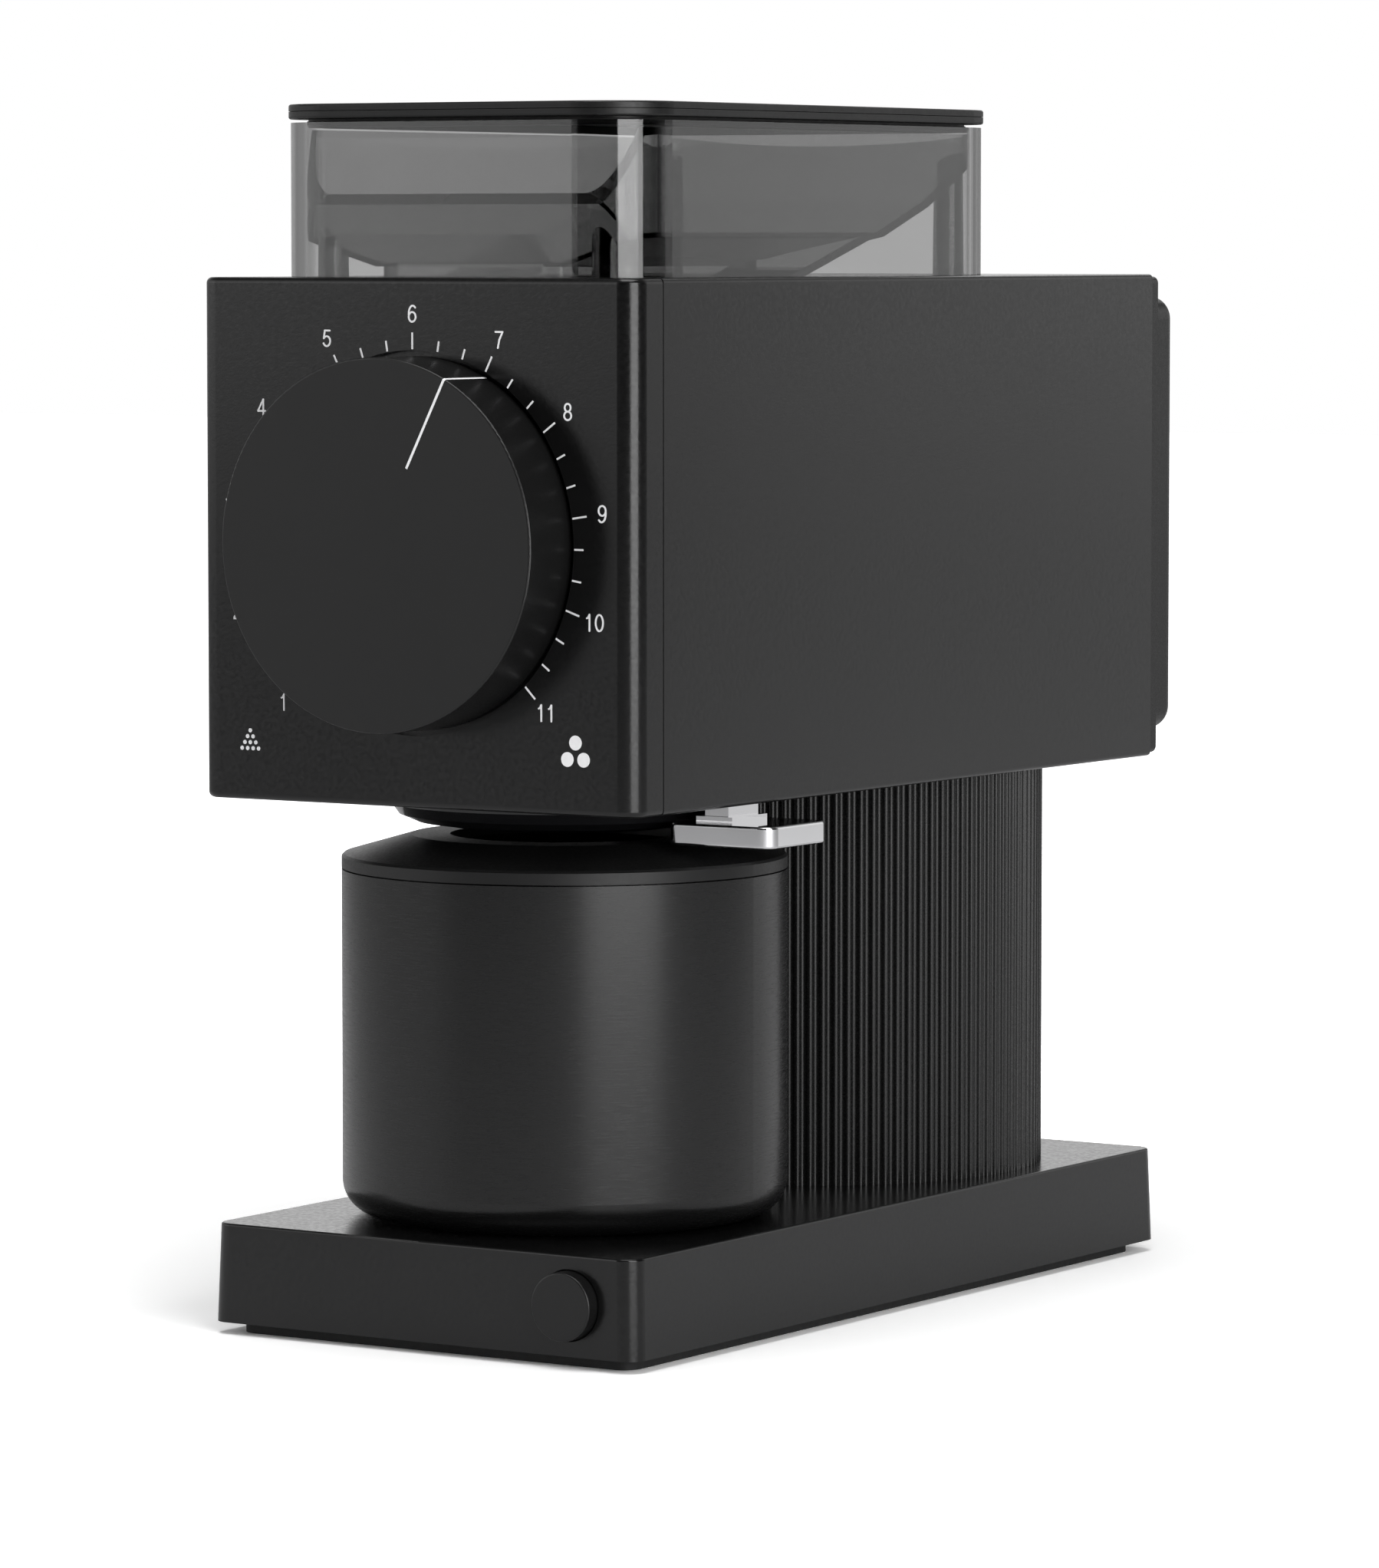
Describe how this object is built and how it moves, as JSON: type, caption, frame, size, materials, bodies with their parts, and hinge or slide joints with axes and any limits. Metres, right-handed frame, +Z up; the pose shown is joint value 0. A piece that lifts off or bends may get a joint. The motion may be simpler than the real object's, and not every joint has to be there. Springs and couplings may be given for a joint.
{
  "type": "burr coffee grinder",
  "caption": "Electric flat-burr coffee grinder: box head with front grind dial and smoky hopper, fluted column, slab base, lidded catch cup, chrome knocker lever.",
  "frame": {"origin": "middle of the underside of the foot mat, on the table surface", "axes": "+Z up, -Y towards the user (dial side), +X to the user's right"},
  "size_m": [0.1125, 0.238, 0.2492],
  "materials": {
    "shell_black": "fine-grain satin black powder coat",
    "column_black": "satin black ribbed extrusion",
    "dial_black": "fine satin black",
    "ink_white": "printed pale grey-white ink",
    "cup_black": "black anodised, fine circular brushing",
    "lid_black": "satin black",
    "smoke_clear": "polished smoky transparent",
    "chute_black": "glossy black",
    "lever_chrome": "polished chrome",
    "rubber_black": "soft matte black",
    "steel": "ground steel",
    "zinc": "zinc-plated steel",
    "cast_alloy": "die-cast aluminium",
    "brass": "machined brass",
    "copper": "enamelled copper wire",
    "board_green": "coated circuit board",
    "part_plastic": "moulded black engineering plastic",
    "capacitor_blue": "sleeved capacitor",
    "magnet_grey": "ferrite"
  },
  "bodies": {
    "stand": {"foot_mat": "rubber_black", "base_shell": "shell_black", "base_plate": "zinc", "base_screws": "zinc", "cord_inlet": "part_plastic", "start_switch": "part_plastic", "column_sleeve": "column_black", "column_core": "cast_alloy", "core_screws": "zinc", "control_board": "board_green", "filter_capacitor": "capacitor_blue", "front_bezel": "shell_black", "head_housing": "shell_black", "rear_plate": "shell_black", "rear_cover": "part_plastic", "rear_screws": "zinc", "scale_marks": "ink_white", "detent_ring": "part_plastic", "grinding_chamber": "cast_alloy", "bean_chute": "part_plastic", "front_bearing": "steel", "rear_bearing": "steel", "motor_mount_plate": "zinc", "motor_can": "zinc", "motor_magnets": "magnet_grey", "motor_brushes": "magnet_grey", "motor_rear_cap": "cast_alloy", "hopper": "smoke_clear", "hopper_funnel": "smoke_clear", "grounds_chute": "chute_black", "lever_bracket": "zinc", "lever_pin": "steel", "lever_spring": "steel"},
    "dial": {"adjustment_dial": "dial_black", "dial_pointer": "ink_white", "dial_hub": "cast_alloy", "hub_screws": "zinc", "adjuster_ring": "brass", "detent_ball": "steel"},
    "still_burr": {"outer_burr_carrier": "cast_alloy", "outer_burr": "steel", "outer_burr_screws": "steel"},
    "rotor": {"motor_shaft": "steel", "motor_rotor": "magnet_grey", "rotor_windings": "copper", "commutator": "copper", "cooling_fan": "part_plastic", "inner_burr": "steel", "inner_burr_carrier": "cast_alloy", "inner_burr_screws": "steel", "feed_auger": "steel"},
    "button": {"start_button": "dial_black", "button_spring": "steel"},
    "lid": {"lid_cover": "lid_black", "lid_base": "lid_black", "lid_seal": "rubber_black"},
    "cup": {"catch_cup": "cup_black", "cup_lid": "lid_black", "cup_lid_seal": "rubber_black"},
    "lever": {"knocker_lever": "lever_chrome"}
  },
  "joints": [
    {"name": "dial_turn", "type": "hinge", "parent": "stand", "child": "dial", "pos_m": [0, -0.113, 0.162], "axis": [0, 1, 0], "range_deg": [-162.9, 108.6]},
    {"name": "burr_feed", "type": "slide", "parent": "stand", "child": "still_burr", "axis": [0, 1, 0], "range_m": [-0.0003, 0.00045]},
    {"name": "rotor_spin", "type": "hinge", "parent": "stand", "child": "rotor", "pos_m": [0, 0, 0.162], "axis": [0, 1, 0], "continuous": true},
    {"name": "button_press", "type": "slide", "parent": "stand", "child": "button", "axis": [0, 1, 0], "range_m": [0, 0.0012], "stiffness_N_per_m": 400, "springref_m": -0.002},
    {"name": "lid_lift", "type": "slide", "parent": "stand", "child": "lid", "axis": [0, 0, 1], "range_m": [0, 0.06]},
    {"name": "cup_slide", "type": "slide", "parent": "stand", "child": "cup", "axis": [0, -1, 0], "range_m": [0, 0.16]},
    {"name": "lever_press", "type": "hinge", "parent": "stand", "child": "lever", "pos_m": [0.03, -0.0576, 0.119], "axis": [0, 1, 0], "range_deg": [0, 5], "stiffness_Nm_per_rad": 0.6, "springref_deg": -11.46}
  ],
  "couplings": [
    {"joint": "burr_feed", "follows": "dial_turn", "m_per_rad": -0.000158}
  ]
}
